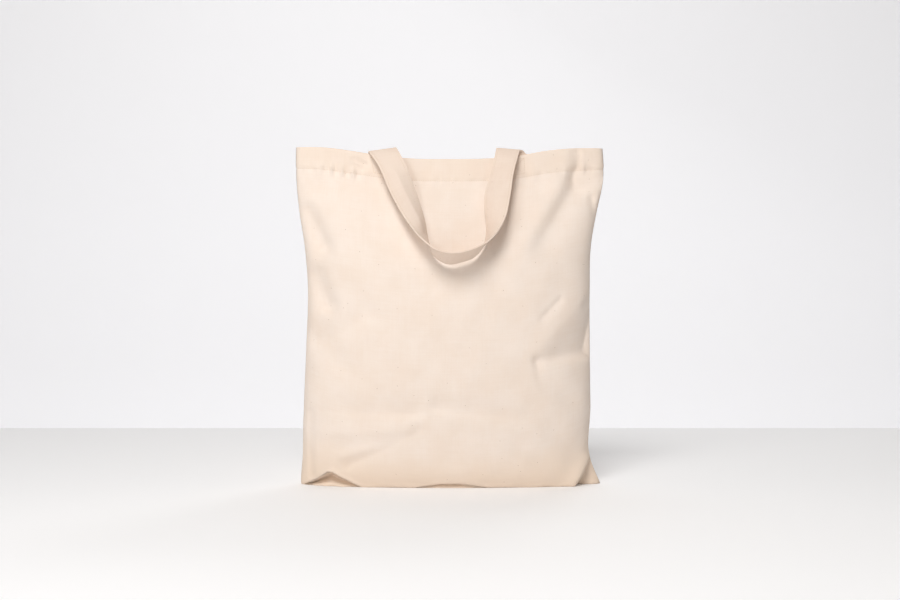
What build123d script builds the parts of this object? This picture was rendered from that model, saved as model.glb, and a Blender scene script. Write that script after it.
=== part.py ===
"""Canvas tote bag: two sewn panels with a turned hem, and two strap handles folded over the rim."""

import os
from math import atan2, cos, degrees, exp, hypot, pi, radians, sin

from build123d import *

# Driving dimensions, in millimetres and degrees

# The standing form: widths run between the side seams, depths from front to back
RIM_WIDTH = 376.0
RIM_DEPTH = 32.0
SHOULDER_WIDTH = 357.0
SHOULDER_DEPTH = 84.0
WAIST_WIDTH = 346.5
WAIST_DEPTH = 103.0
HEEL_WIDTH = 355.0
HEEL_DEPTH = 95.0
FOOT_WIDTH = 368.0
FOOT_DEPTH = 84.0
CORNER_HEIGHT = 411.0
RIM_DIP = 14.0
SHOULDER_DROP = 101.0
WAIST_HEIGHT = 200.0
HEEL_HEIGHT = 30.0
FRONT_FULLNESS = 0.62

# Slump: a dent pressed into both panels beside the right seam, as a share of the depth that is there
DENT_ACROSS = 164.0
DENT_HEIGHT = 155.0
DENT_SHARE = 0.34
DENT_SPREAD = 34.0

# Cloth, hem and seams
CLOTH = 0.8
HEM_HEIGHT = 28.0
HEM_THICKNESS = 2.4
HEM_LAP = 4.0
HEM_ROW = 2.0
SEAM_ALLOWANCE = 9.0

# Handles
STRAP_WIDTH = 32.0
STRAP_THICKNESS = 1.6
HANDLE_SPACING = 155.0
SEWN_LENGTH = 25.0
END_RISE = 2.0
FOLD_RISE = 7.0
FOLD_RADIUS = 3.0
LOOP_LEAN = 34.0
LOOP_DROP = 134.0
LOOP_TWIST = 110.0
LOOP_CLEARANCE = 10.0
UPPER_REACH = 46.0
LOWER_REACH = 40.0

# Thread and seating
THREAD_WIDTH = 0.7
THREAD_THICKNESS = 0.4
EDGE_MARGIN = 3.0
OVERLOCK_WIDTH = 5.0
OVERLOCK_STOP = 2.0
OVERLOCK_BREAK = 0.5
FIT = 0.1

# Bands and chords of the curved forms, how chords crowd to the side seams, and the overrun of cutting tools
BODY_BANDS = 10
SECTION_CHORDS = 4
CHORD_CROWDING = 2.2
RIM_CHORDS = 12
LOOP_STATIONS = 7
MARGIN = 20.0

# Places that follow from the sizes above
HEM_FOOT = CORNER_HEIGHT - RIM_DIP - HEM_HEIGHT - HEM_LAP
with BuildLine() as form:
    Spline(
        (FOOT_WIDTH, FOOT_DEPTH, 0),
        (HEEL_WIDTH, HEEL_DEPTH, HEEL_HEIGHT),
        (WAIST_WIDTH, WAIST_DEPTH, WAIST_HEIGHT),
        (SHOULDER_WIDTH, SHOULDER_DEPTH, CORNER_HEIGHT - SHOULDER_DROP),
        (RIM_WIDTH, RIM_DEPTH, HEM_FOOT),
    )
form_line = form.edges()[0]
BODY_STATIONS = [form_line @ (band / BODY_BANDS) for band in range(BODY_BANDS + 1)]

os.makedirs("parts", exist_ok=True)


def slumped(across, front, height):
    """Point of a level section, drawn towards the seam plane where the slack cloth is dented."""
    away = hypot(across - DENT_ACROSS, height - DENT_HEIGHT) / DENT_SPREAD
    return across, front * (1 - DENT_SHARE * exp(-(away**2)))


def half_section(height, width, depth, inset=0.0):
    """Front half of a level section: chords of a flat-fronted curve, shorter towards the side seams."""
    across, front = width / 2 - inset, depth / 2 - inset
    with BuildLine() as quarter:
        Bezier(
            (across, 0),
            (across, -FRONT_FULLNESS * front),
            (FRONT_FULLNESS * across, -front),
            (0, -front),
        )
    curve = quarter.edges()[0]
    points = [curve @ (chord / SECTION_CHORDS) ** CHORD_CROWDING for chord in range(SECTION_CHORDS)]
    right = [(point.X, point.Y) for point in points]
    left = [(-x, y) for x, y in reversed(right)]
    outline = [slumped(x, y, height) for x, y in (*right, (0, -front), *left)]
    with BuildSketch(Plane.XY.offset(height)) as section:
        with BuildLine():
            Polyline(*outline, close=True)
        make_face()
    return section.sketch


def body_sections(inset):
    """Front halves of the sections from the foot up to the hem, set in from the outer face and the floor."""
    return [half_section(max(station.Z, inset), station.X, station.Y, inset) for station in BODY_STATIONS]


def hem_section(inset):
    """Front half of the hem's upright section, set in from the outer face of the cloth."""
    return half_section(HEM_FOOT, RIM_WIDTH, RIM_DEPTH, inset)


def rim_height(across):
    """Height of the dipping rim at a distance from the middle, on the arc through both corners."""
    half = RIM_WIDTH / 2
    radius = (half**2 + RIM_DIP**2) / (2 * RIM_DIP)
    return CORNER_HEIGHT - RIM_DIP + radius - (radius**2 - across**2) ** 0.5


def above_rim(drop):
    """Upright outline of everything over a line that runs a set distance below the rim."""
    half, top, side = RIM_WIDTH / 2, CORNER_HEIGHT + 2 * MARGIN, CORNER_HEIGHT - drop
    stations = [half * (2 * chord / RIM_CHORDS - 1) for chord in range(RIM_CHORDS + 1)]
    with BuildSketch(Plane.XZ) as region:
        with BuildLine():
            Polyline(
                *[(across, rim_height(across) - drop) for across in stations],
                (half + MARGIN, side), (half + MARGIN, top), (-half - MARGIN, top), (-half - MARGIN, side),
                close=True,
            )
        make_face()
    return region.sketch


def seam_window(inset):
    """Upright outline inside the side and bottom seams, set in from them and open past the rim."""
    right = [(station.X / 2 - inset, station.Z) for station in BODY_STATIONS]
    right.append((RIM_WIDTH / 2 - inset, CORNER_HEIGHT + MARGIN))
    left = [(-across, height) for across, height in reversed(right)]
    with BuildSketch(Plane.XZ) as window:
        with BuildLine():
            Polyline(*right, *left, close=True)
        make_face()
        with Locations((0, inset / 2)):
            Rectangle(2 * FOOT_WIDTH, inset, mode=Mode.SUBTRACT)
    return window.sketch


# Front panel: outer form, less the room inside, with its allowances left standing along the seam plane
with BuildPart() as room:
    loft(body_sections(CLOTH), ruled=True)
    extrude(hem_section(CLOTH), amount=CORNER_HEIGHT - HEM_FOOT + MARGIN)
    extrude(above_rim(HEM_HEIGHT), amount=RIM_DEPTH, both=True, mode=Mode.SUBTRACT)
    extrude(hem_section(HEM_THICKNESS), amount=CORNER_HEIGHT - HEM_FOOT + MARGIN)
    split(bisect_by=Plane.XZ.offset(CLOTH), keep=Keep.TOP)

with BuildPart() as front_panel:
    loft(body_sections(0), ruled=True)
    extrude(hem_section(0), amount=CORNER_HEIGHT - HEM_FOOT + MARGIN)
    add(room.part, mode=Mode.SUBTRACT)
    extrude(seam_window(SEAM_ALLOWANCE), amount=2 * CLOTH, both=True, mode=Mode.SUBTRACT)
    extrude(above_rim(0), amount=RIM_DEPTH, both=True, mode=Mode.SUBTRACT)
front_panel.part.label = "front_panel"
export_step(front_panel.part, "parts/front_panel.step")

with BuildPart() as rear_panel:
    mirror(front_panel.part, about=Plane.XZ)
rear_panel.part.label = "rear_panel"
export_step(rear_panel.part, "parts/rear_panel.step")

# Hem stitching: a line of thread proud of the cloth along the lower edge of the turned hem
with BuildPart() as front_hem_stitching:
    extrude(hem_section(-FIT - THREAD_THICKNESS), amount=CORNER_HEIGHT - HEM_FOOT)
    extrude(hem_section(-FIT), amount=CORNER_HEIGHT - HEM_FOOT, mode=Mode.SUBTRACT)
    extrude(above_rim(HEM_HEIGHT - HEM_ROW), amount=RIM_DEPTH, both=True, mode=Mode.INTERSECT)
    extrude(above_rim(HEM_HEIGHT - HEM_ROW - THREAD_WIDTH), amount=RIM_DEPTH, both=True, mode=Mode.SUBTRACT)
front_hem_stitching.part.label = "front_hem_stitching"
export_step(front_hem_stitching.part, "parts/front_hem_stitching.step")

with BuildPart() as rear_hem_stitching:
    mirror(front_hem_stitching.part, about=Plane.XZ)
rear_hem_stitching.part.label = "rear_hem_stitching"
export_step(rear_hem_stitching.part, "parts/rear_hem_stitching.step")

# Overlock thread: a channel folded over the two raw edges of each seam
with BuildPart() as seam_overlock:
    extrude(seam_window(SEAM_ALLOWANCE - OVERLOCK_WIDTH), amount=CLOTH + FIT + THREAD_THICKNESS, both=True)
    extrude(
        seam_window(SEAM_ALLOWANCE + FIT + THREAD_THICKNESS),
        amount=2 * CLOTH + MARGIN, both=True, mode=Mode.SUBTRACT,
    )
    with BuildPart(mode=Mode.PRIVATE) as raw_edges:
        extrude(seam_window(FIT), amount=CLOTH + FIT, both=True)
        extrude(seam_window(SEAM_ALLOWANCE + FIT), amount=2 * CLOTH + MARGIN, both=True, mode=Mode.SUBTRACT)
    add(raw_edges.part, mode=Mode.SUBTRACT)
    extrude(above_rim(HEM_HEIGHT + OVERLOCK_STOP), amount=RIM_DEPTH, both=True, mode=Mode.SUBTRACT)

side_reach = WAIST_WIDTH / 2 - SEAM_ALLOWANCE - MARGIN
side_sketch_height = CORNER_HEIGHT + 2 * MARGIN

with BuildPart() as left_seam_overlock:
    add(seam_overlock.part)
    with BuildSketch(Plane.XZ):
        with Locations((-side_reach - FOOT_WIDTH, side_sketch_height / 2)):
            Rectangle(2 * FOOT_WIDTH, side_sketch_height)
    extrude(amount=MARGIN, both=True, mode=Mode.INTERSECT)
left_seam_overlock.part.label = "left_seam_overlock"
export_step(left_seam_overlock.part, "parts/left_seam_overlock.step")

with BuildPart() as right_seam_overlock:
    mirror(left_seam_overlock.part, about=Plane.YZ)
right_seam_overlock.part.label = "right_seam_overlock"
export_step(right_seam_overlock.part, "parts/right_seam_overlock.step")

with BuildPart() as bottom_seam_overlock:
    add(seam_overlock.part)
    with BuildSketch(Plane.XZ):
        with Locations((0, side_sketch_height / 2)):
            Rectangle(2 * (side_reach - OVERLOCK_BREAK), side_sketch_height)
    extrude(amount=MARGIN, both=True, mode=Mode.INTERSECT)
bottom_seam_overlock.part.label = "bottom_seam_overlock"
export_step(bottom_seam_overlock.part, "parts/bottom_seam_overlock.step")

# Handle ends: straps that lie against the inside of the hem and rise past the rim to the fold
end_inset = HEM_THICKNESS + FIT
end_middle = end_inset + STRAP_THICKNESS / 2
end_offset = HANDLE_SPACING / 2
end_rim = rim_height(end_offset)
fold_height = end_rim + FOLD_RISE


def hem_inside(across, inset):
    """How far in front of the mid-plane the hem's section lies, at a distance from the middle."""
    half, near, far = RIM_WIDTH / 2 - inset, 0.0, 1.0
    for _ in range(40):
        t = (near + far) / 2
        reached = half * ((1 - t) ** 3 + 3 * (1 - t) ** 2 * t + 3 * (1 - t) * t**2 * FRONT_FULLNESS)
        near, far = (t, far) if reached > across else (near, t)
    return (RIM_DEPTH / 2 - inset) * (3 * (1 - t) ** 2 * t * FRONT_FULLNESS + 3 * (1 - t) * t**2 + t**3)


fold_front = -hem_inside(end_offset, end_middle) - FOLD_RADIUS


def handle_end(side):
    """One sewn end of the front handle, curved with the hem behind it."""
    with BuildPart() as end:
        extrude(hem_section(end_inset), amount=fold_height - HEM_FOOT)
        extrude(
            hem_section(end_inset + STRAP_THICKNESS), amount=fold_height - HEM_FOOT, mode=Mode.SUBTRACT
        )
        with BuildSketch(Plane.XZ):
            with Locations((side * end_offset, end_rim + END_RISE)):
                Rectangle(STRAP_WIDTH, SEWN_LENGTH + END_RISE, align=(Align.CENTER, Align.MAX))
        extrude(amount=RIM_DEPTH, both=True, mode=Mode.INTERSECT)
        split(bisect_by=Plane.XZ, keep=Keep.TOP)
    return end.part


def end_tack(side):
    """Boxed cross of thread through one sewn end, proud of the strap's inner face."""
    face = end_inset + STRAP_THICKNESS + FIT
    box_width, box_height = STRAP_WIDTH - 2 * EDGE_MARGIN, SEWN_LENGTH - 2 * EDGE_MARGIN
    diagonal = hypot(box_width, box_height) - THREAD_WIDTH
    slope = degrees(atan2(box_height, box_width))
    with BuildPart() as tack:
        extrude(hem_section(face), amount=fold_height - HEM_FOOT)
        extrude(hem_section(face + THREAD_THICKNESS), amount=fold_height - HEM_FOOT, mode=Mode.SUBTRACT)
        with BuildSketch(Plane.XZ):
            with Locations((side * end_offset, end_rim - SEWN_LENGTH / 2)):
                Rectangle(box_width, box_height)
                Rectangle(box_width - 2 * THREAD_WIDTH, box_height - 2 * THREAD_WIDTH, mode=Mode.SUBTRACT)
                Rectangle(diagonal, THREAD_WIDTH, rotation=slope)
                Rectangle(diagonal, THREAD_WIDTH, rotation=-slope)
        extrude(amount=RIM_DEPTH, both=True, mode=Mode.INTERSECT)
        split(bisect_by=Plane.XZ, keep=Keep.TOP)
    return tack.part


with BuildPart() as front_handle_left_end:
    add(handle_end(-1))
front_handle_left_end.part.label = "front_handle_left_end"
export_step(front_handle_left_end.part, "parts/front_handle_left_end.step")

with BuildPart() as front_handle_right_end:
    add(handle_end(1))
front_handle_right_end.part.label = "front_handle_right_end"
export_step(front_handle_right_end.part, "parts/front_handle_right_end.step")

with BuildPart() as rear_handle_left_end:
    mirror(front_handle_left_end.part, about=Plane.XZ)
rear_handle_left_end.part.label = "rear_handle_left_end"
export_step(rear_handle_left_end.part, "parts/rear_handle_left_end.step")

with BuildPart() as rear_handle_right_end:
    mirror(front_handle_right_end.part, about=Plane.XZ)
rear_handle_right_end.part.label = "rear_handle_right_end"
export_step(rear_handle_right_end.part, "parts/rear_handle_right_end.step")

with BuildPart() as front_left_tack:
    add(end_tack(-1))
front_left_tack.part.label = "front_left_tack"
export_step(front_left_tack.part, "parts/front_left_tack.step")

with BuildPart() as front_right_tack:
    add(end_tack(1))
front_right_tack.part.label = "front_right_tack"
export_step(front_right_tack.part, "parts/front_right_tack.step")

with BuildPart() as rear_left_tack:
    mirror(front_left_tack.part, about=Plane.XZ)
rear_left_tack.part.label = "rear_left_tack"
export_step(rear_left_tack.part, "parts/rear_left_tack.step")

with BuildPart() as rear_right_tack:
    mirror(front_right_tack.part, about=Plane.XZ)
rear_right_tack.part.label = "rear_right_tack"
export_step(rear_right_tack.part, "parts/rear_right_tack.step")

# Folds: the strap rises past the rim and turns over about the swing axis, short of a half turn by its lean
with BuildPart() as front_handle_folds:
    for side in (-1, 1):
        with BuildSketch(Plane.YZ.offset(side * end_offset)):
            with Locations((fold_front, fold_height)):
                Circle(FOLD_RADIUS + STRAP_THICKNESS / 2)
                Circle(FOLD_RADIUS - STRAP_THICKNESS / 2, mode=Mode.SUBTRACT)
                Rectangle(MARGIN, MARGIN, align=(Align.CENTER, Align.MAX), mode=Mode.SUBTRACT)
                Rectangle(
                    MARGIN, MARGIN, rotation=-LOOP_LEAN, align=(Align.MAX, Align.MAX), mode=Mode.SUBTRACT
                )
            with Locations((fold_front + FOLD_RADIUS, fold_height)):
                Rectangle(STRAP_THICKNESS, FOLD_RISE - END_RISE, align=(Align.CENTER, Align.MAX))
        extrude(amount=STRAP_WIDTH / 2, both=True)
front_handle_folds.part.label = "front_handle_folds"
export_step(front_handle_folds.part, "parts/front_handle_folds.step")

with BuildPart() as rear_handle_folds:
    mirror(front_handle_folds.part, about=Plane.XZ)
rear_handle_folds.part.label = "rear_handle_folds"
export_step(rear_handle_folds.part, "parts/rear_handle_folds.step")

# Loop: the strap hangs from both folds and turns over on the way, so that the grip lies edge to the front
lean, twist = radians(LOOP_LEAN), radians(LOOP_TWIST)
loop_start = Vector(
    -end_offset, fold_front - FOLD_RADIUS * cos(lean), fold_height + FOLD_RADIUS * sin(lean)
)
grip = Vector(
    0,
    -WAIST_DEPTH / 2 - LOOP_CLEARANCE - STRAP_WIDTH / 2 * sin(twist),
    fold_height - LOOP_DROP,
)
with BuildLine() as loop_half:
    Bezier(
        loop_start,
        loop_start + UPPER_REACH * Vector(0, -sin(lean), -cos(lean)),
        grip - Vector(LOWER_REACH, 0, 0),
        grip,
    )
half_path = loop_half.edges()[0]


def strap_planes():
    """Planes across the strap from the left fold to the right one: local x runs from outer to inner edge."""
    planes = []
    for step in range(LOOP_STATIONS + 1):
        along = step / LOOP_STATIONS
        centre, ahead = half_path @ along, half_path % along
        inward = ahead.cross(Vector(0, 1, 0)).normalized()
        behind = inward.cross(ahead).normalized()
        turn = twist * sin(pi * along / 2) ** 2
        edge = inward * cos(turn) + behind * sin(turn)
        planes.append((centre, edge, ahead))
    mirrored = [
        (Vector(-c.X, c.Y, c.Z), Vector(-e.X, e.Y, e.Z), Vector(a.X, -a.Y, -a.Z))
        for c, e, a in reversed(planes[:-1])
    ]
    return [Plane(origin=c, x_dir=e, z_dir=a) for c, e, a in planes + mirrored]


def strap_run(width, thickness, across=0.0, above=0.0):
    """Flat sections of a band that follows the loop, set off from the strap's middle line."""
    sections = []
    for plane in strap_planes():
        with BuildSketch(plane) as section:
            with Locations((across, above)):
                Rectangle(width, thickness)
        sections.append(section.sketch)
    return sections


with BuildPart() as front_handle_loop:
    loft(strap_run(STRAP_WIDTH, STRAP_THICKNESS), ruled=True)
front_handle_loop.part.label = "front_handle_loop"
export_step(front_handle_loop.part, "parts/front_handle_loop.step")

with BuildPart() as rear_handle_loop:
    mirror(front_handle_loop.part, about=Plane.XZ)
rear_handle_loop.part.label = "rear_handle_loop"
export_step(rear_handle_loop.part, "parts/rear_handle_loop.step")

with BuildPart() as front_handle_stitching:
    for edge_side in (-1, 1):
        loft(
            strap_run(
                THREAD_WIDTH,
                THREAD_THICKNESS,
                edge_side * (STRAP_WIDTH / 2 - EDGE_MARGIN),
                STRAP_THICKNESS / 2 + FIT + THREAD_THICKNESS / 2,
            ),
            ruled=True,
        )
front_handle_stitching.part.label = "front_handle_stitching"
export_step(front_handle_stitching.part, "parts/front_handle_stitching.step")

with BuildPart() as rear_handle_stitching:
    mirror(front_handle_stitching.part, about=Plane.XZ)
rear_handle_stitching.part.label = "rear_handle_stitching"
export_step(rear_handle_stitching.part, "parts/rear_handle_stitching.step")
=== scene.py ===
"""Canvas tote bag in metres: settled cloth panels, turned hems, twisted handles, seams and stitching."""

import logging
import math
from collections.abc import Sequence
from dataclasses import dataclass, field
from enum import Enum

import bmesh
import bpy
import numpy as np
from mathutils import Matrix, Vector


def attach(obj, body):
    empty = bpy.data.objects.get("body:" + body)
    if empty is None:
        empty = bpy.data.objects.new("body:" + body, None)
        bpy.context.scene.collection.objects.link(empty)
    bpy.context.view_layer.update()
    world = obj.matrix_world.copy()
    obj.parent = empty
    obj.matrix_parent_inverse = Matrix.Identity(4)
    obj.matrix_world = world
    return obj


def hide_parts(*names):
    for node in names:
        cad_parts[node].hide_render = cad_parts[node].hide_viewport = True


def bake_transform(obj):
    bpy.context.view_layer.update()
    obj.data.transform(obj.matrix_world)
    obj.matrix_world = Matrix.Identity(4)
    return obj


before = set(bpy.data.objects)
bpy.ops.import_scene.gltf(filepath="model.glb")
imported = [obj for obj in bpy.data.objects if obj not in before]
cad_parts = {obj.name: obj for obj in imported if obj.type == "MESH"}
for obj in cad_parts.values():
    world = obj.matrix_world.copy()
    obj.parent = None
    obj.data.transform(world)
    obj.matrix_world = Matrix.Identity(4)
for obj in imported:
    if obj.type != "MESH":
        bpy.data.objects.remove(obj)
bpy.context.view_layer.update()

LOG = logging.getLogger("tote_bag")
Stations = tuple[tuple[float, float], ...]
Place = tuple[float, float, float]
Tone = tuple[int, int, int]


class Side(Enum):
    """The two faces of the bag; the value is the sign of the outward direction along y."""

    FRONT = -1
    REAR = 1

    @property
    def label(self) -> str:
        """Lower-case name used for pieces and bodies."""
        return self.name.lower()


class Slot(Enum):
    """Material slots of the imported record."""

    CANVAS = "canvas"
    STRAP = "strap"
    THREAD = "thread"


# Shader helpers


class Value:
    """A number that varies over a surface: a socket whose operators add Math nodes."""

    def __init__(self, graph: "Graph", socket: bpy.types.NodeSocket) -> None:
        """Keep the socket and the graph that it belongs to."""
        self.graph, self.socket = graph, socket

    def output(self, name: str) -> "Value":
        """Another output of the node that this value comes from."""
        return Value(self.graph, self.socket.node.outputs[name])

    def _math(self, operation: str, *operands: "Value | float") -> "Value":
        """Add one Math node.

        Args:
            operation: Math operation.
            operands: its inputs, in order.

        Returns:
            The node's result.
        """
        links = {i: operand for i, operand in enumerate(operands)}
        return self.graph.node("ShaderNodeMath", {"operation": operation}, links)

    def __add__(self, other: "Value | float") -> "Value":
        """Sum."""
        return self._math("ADD", self, other)

    __radd__ = __add__

    def __sub__(self, other: "Value | float") -> "Value":
        """Difference."""
        return self._math("SUBTRACT", self, other)

    def __rsub__(self, other: "Value | float") -> "Value":
        """Difference from a number."""
        return self._math("SUBTRACT", other, self)

    def __mul__(self, other: "Value | float") -> "Value":
        """Product."""
        return self._math("MULTIPLY", self, other)

    __rmul__ = __mul__

    def sine(self) -> "Value":
        """Sine of an angle in radians."""
        return self._math("SINE", self)

    def below(self, limit: float) -> "Value":
        """One where the value is under the limit, else zero."""
        return self._math("LESS_THAN", self, limit)


class Graph:
    """Node tree of one material, with its surface shader."""

    def __init__(self, name: str) -> None:
        """Start an empty material.

        Args:
            name: name of the material.
        """
        self.material = bpy.data.materials.new(name)
        self.material.use_nodes = True
        self.tree = self.material.node_tree
        self.tree.nodes.clear()
        self.shader = self.add("ShaderNodeBsdfPrincipled", {}, {})
        self.add("ShaderNodeOutputMaterial", {}, {"Surface": Value(self, self.shader.outputs["BSDF"])})

    def add(self, kind: str, settings: dict, inputs: dict) -> bpy.types.Node:
        """Add a node.

        Args:
            kind: node type.
            settings: properties set before the sockets, or a ramp's stops under "stops".
            inputs: values or links by socket name or number.

        Returns:
            The node.
        """
        node = self.tree.nodes.new(kind)
        for key, setting in settings.items():
            if key == "stops":
                self._ramp(node.color_ramp, setting)
            else:
                setattr(node, key, setting)
        for key, value in inputs.items():
            self.feed(node.inputs[key], value)
        return node

    def node(self, kind: str, settings: dict, inputs: dict, result: str | int = 0) -> Value:
        """Add a node and give one of its outputs, by name or number."""
        return Value(self, self.add(kind, settings, inputs).outputs[result])

    def dress(self, sockets: dict) -> bpy.types.Material:
        """Set or link the surface shader's own sockets.

        Args:
            sockets: values or links by socket name.

        Returns:
            The finished material.
        """
        for name, value in sockets.items():
            self.feed(self.shader.inputs[name], value)
        return self.material

    @staticmethod
    def _ramp(ramp: bpy.types.ColorRamp, stops: Sequence[tuple[float, float]]) -> None:
        """Set a grey ramp's stops.

        Args:
            ramp: the ramp.
            stops: position and grey level of each stop, in order.
        """
        while len(ramp.elements) < len(stops):
            ramp.elements.new(1.0)
        for element, (position, grey) in zip(ramp.elements, stops):
            element.position, element.color = position, (grey, grey, grey, 1.0)

    def feed(self, socket: bpy.types.NodeSocket, value: "Value | float | Sequence[float]") -> None:
        """Link or set one input socket."""
        if isinstance(value, Value):
            self.tree.links.new(value.socket, socket)
        else:
            socket.default_value = value

    def blend_colours(
        self, amount: "Value | float", first: "Value | tuple", second: "Value | tuple"
    ) -> Value:
        """Mix two colours.

        Args:
            amount: share of the second colour.
            first: colour at zero.
            second: colour at one.

        Returns:
            The mixed colour.
        """
        settings = {"data_type": "RGBA", "blend_type": "MIX"}
        return self.node("ShaderNodeMix", settings, {0: amount, 6: first, 7: second}, 2)


def linear(red: int, green: int, blue: int) -> tuple[float, float, float, float]:
    """Scene-linear colour of display values from 0 to 255."""
    def channel(level: int) -> float:
        """One channel by the display curve."""
        share = level / 255
        return share / 12.92 if share <= 0.04045 else ((share + 0.055) / 1.055) ** 2.4

    return channel(red), channel(green), channel(blue), 1.0


@dataclass(frozen=True)
class CanvasFinish:
    """Plain-weave unbleached cotton, patterned along the cloth's own threads by a UV map in metres, with
    painted shade towards the foot and, weaker, along the hem.
    """

    name: str = "natural_canvas"
    pale: Tone = (242, 228, 216)
    warm: Tone = (239, 223, 209)
    # colour of the painted shade near the foot and along the hem
    painted_shade_tone: Tone = (236, 215, 194)
    fleck: Tone = (150, 116, 84)
    # painted shade as a share of that colour by height up the flat cloth: strong at the foot, weak along the
    # hem
    painted_shade_bands: Stations = ((0.0, 1.0), (0.050, 0.65), (0.085, 0.0), (0.412, 0.0), (0.416, 0.3))
    painted_shade_span: float = 0.5
    tone_stops: Stations = ((0.32, 0.0), (0.68, 1.0))
    cloud_scale: float = 26.0
    yarn_pitch: float = 0.0009
    weave_rise: float = 0.45
    slub_length: float = 0.045
    slub_width: float = 0.0016
    slub_tone: float = 0.3
    slub_rise: float = 0.65
    fleck_cell: float = 0.021
    fleck_size: float = 0.019
    fleck_share: float = 0.28
    fleck_strength: float = 0.65
    bump_strength: float = 0.35
    bump_depth: float = 0.00025
    roughness: float = 0.92
    sheen: float = 0.12
    gloss: float = 0.2

    def build(self) -> bpy.types.Material:
        """Make the material.

        Returns:
            The node material.
        """
        graph = Graph(self.name)
        uv = graph.node("ShaderNodeUVMap", {"uv_map": "cloth"}, {})
        across = graph.node("ShaderNodeSeparateXYZ", {}, {0: uv}, "X")
        along = across.output("Y")

        def noise(place: Value, scale: float, detail: float, roughness: float) -> Value:
            """Noise over the flat cloth."""
            sockets = {"Vector": place, "Scale": scale, "Detail": detail, "Roughness": roughness}
            return graph.node("ShaderNodeTexNoise", {"noise_dimensions": "2D"}, sockets)

        def streaks(width: float, length: float) -> Value:
            """Uneven yarn, longer one way than the other."""
            sockets = {0: across * (1 / width), 1: along * (1 / length)}
            return noise(graph.node("ShaderNodeCombineXYZ", {}, sockets), 1.0, 2.0, 0.55)

        turn = math.pi / self.yarn_pitch
        weave = (across * turn).sine() * (along * turn).sine()
        warp, weft = streaks(self.slub_width, self.slub_length), streaks(self.slub_length, self.slub_width)
        slubs = warp + weft - 1.0
        cloud = noise(uv, self.cloud_scale, 4.0, 0.6) + slubs * self.slub_tone
        tone = graph.node("ShaderNodeValToRGB", {"stops": self.tone_stops}, {0: cloud})
        near = graph.node("ShaderNodeTexVoronoi", {"voronoi_dimensions": "2D"},
                          {"Vector": uv, "Scale": 1 / self.fleck_cell}, "Distance")
        chance = graph.node("ShaderNodeSeparateColor", {}, {0: near.output("Color")})
        dot = near.below(self.fleck_size) * chance.below(self.fleck_share)
        cloth = graph.blend_colours(tone, linear(*self.pale), linear(*self.warm))
        # painted shade: the cloth is darkened towards the foot and a little along the hem
        if self.painted_shade_bands:
            stops = tuple((at / self.painted_shade_span, depth) for at, depth in self.painted_shade_bands)
            band = graph.node("ShaderNodeValToRGB", {"stops": stops}, {0: along * (1 / self.painted_shade_span)})
            cloth = graph.blend_colours(band, cloth, linear(*self.painted_shade_tone))
        height = weave * self.weave_rise + slubs * self.slub_rise
        bump = {"Strength": self.bump_strength, "Distance": self.bump_depth, "Height": height}
        return graph.dress({
            "Base Color": graph.blend_colours(dot * self.fleck_strength, cloth, linear(*self.fleck)),
            "Normal": graph.node("ShaderNodeBump", {}, bump),
            "Roughness": self.roughness,
            "Sheen Weight": self.sheen,
            "Specular IOR Level": self.gloss,
        })


# the straps use a darker copy of the canvas, with no painted shade
STRAP_CANVAS = CanvasFinish(name="strap_canvas", pale=(234, 216, 201), warm=(230, 210, 194), painted_shade_bands=())


@dataclass(frozen=True)
class ThreadFinish:
    """Twisted cotton sewing thread."""

    name: str = "cotton_thread"
    light: Tone = (238, 221, 203)
    dark: Tone = (214, 192, 168)
    fibre_scale: float = 2600.0
    fibre_detail: float = 2.0
    bump_strength: float = 0.3
    bump_depth: float = 0.0001
    roughness: float = 0.8

    def build(self) -> bpy.types.Material:
        """Make the material.

        Returns:
            The node material.
        """
        graph = Graph(self.name)
        place = graph.node("ShaderNodeTexCoord", {}, {}, "Object")
        sockets = {"Vector": place, "Scale": self.fibre_scale, "Detail": self.fibre_detail}
        fibre = graph.node("ShaderNodeTexNoise", {}, sockets)
        bump = {"Strength": self.bump_strength, "Distance": self.bump_depth, "Height": fibre}
        return graph.dress({
            "Base Color": graph.blend_colours(fibre, linear(*self.light), linear(*self.dark)),
            "Normal": graph.node("ShaderNodeBump", {}, bump),
            "Roughness": self.roughness,
        })


@dataclass(frozen=True)
class StageFinish:
    """Matt painted surface of the table, the floor and the wall behind."""

    name: str
    tone: Tone
    roughness: float
    glow: float

    def build(self) -> bpy.types.Material:
        """Make the material.

        Returns:
            The node material.
        """
        paint = linear(*self.tone)
        return Graph(self.name).dress({
            "Base Color": paint,
            "Roughness": self.roughness,
            "Emission Color": paint,
            "Emission Strength": self.glow,
        })


# Curves and surfaces


def smooth_curve(stations: Stations, at: np.ndarray) -> np.ndarray:
    """Cubic curve through stations.

    Args:
        stations: (position, value) pairs in rising order.
        at: positions to read, held at both ends.

    Returns:
        The values.
    """
    knots, values = (np.array(column) for column in zip(*stations))
    at = np.clip(at, knots[0], knots[-1])
    slope = np.gradient(values, knots)
    i = np.clip(np.searchsorted(knots, at) - 1, 0, len(knots) - 2)
    span = knots[i + 1] - knots[i]
    t = (at - knots[i]) / span
    return (
        (2 * t**3 - 3 * t**2 + 1) * values[i]
        + (t**3 - 2 * t**2 + t) * span * slope[i]
        + (3 * t**2 - 2 * t**3) * values[i + 1]
        + (t**3 - t**2) * span * slope[i + 1]
    )


def refined(points: np.ndarray, axis: int) -> np.ndarray:
    """Halve the spacing of a grid along one axis with a cubic through its points.

    Args:
        points: grid of positions.
        axis: axis to refine.

    Returns:
        The finer grid.
    """
    p = np.moveaxis(points, axis, 0)
    padded = np.concatenate([2 * p[:1] - p[1:2], p, 2 * p[-1:] - p[-2:-1]])
    middle = (9 * (padded[1:-2] + padded[2:-1]) - padded[:-3] - padded[3:]) / 16
    out = np.empty((2 * len(p) - 1, *p.shape[1:]))
    out[::2], out[1::2] = p, middle
    return np.moveaxis(out, 0, axis)


def unit(vectors: np.ndarray) -> np.ndarray:
    """Vectors scaled to length one."""
    return vectors / (np.linalg.norm(vectors, axis=-1, keepdims=True) + 1e-12)


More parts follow.
